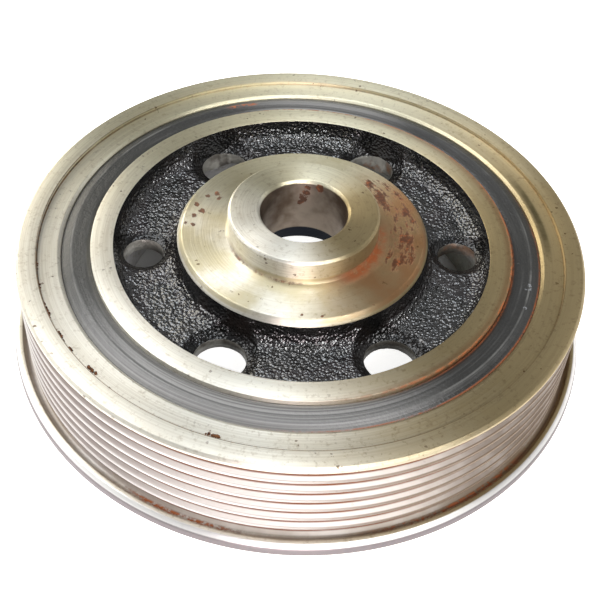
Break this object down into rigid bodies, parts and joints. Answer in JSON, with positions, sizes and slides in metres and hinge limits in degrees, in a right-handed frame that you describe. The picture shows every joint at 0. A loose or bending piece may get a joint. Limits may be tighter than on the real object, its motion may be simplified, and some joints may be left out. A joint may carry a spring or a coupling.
{
  "type": "harmonic balancer",
  "caption": "Crankshaft vibration damper: a holed iron hub with a raised bolt boss, a bonded rubber ring and a grooved belt ring with a guard flange.",
  "frame": {"origin": "centre of the belt ring's rear face, on the shaft axis", "axes": "+Z along the shaft axis towards the bolt boss; +X through a small hole of the web"},
  "size_m": [0.1472, 0.1472, 0.0365],
  "materials": {
    "hub_iron": "machined faces with black cast web",
    "rubber": "matt",
    "ring_iron": "turned"
  },
  "bodies": {
    "root": {"hub": "hub_iron", "damper_rubber": "rubber", "pulley_ring": "ring_iron"}
  },
  "joints": []
}
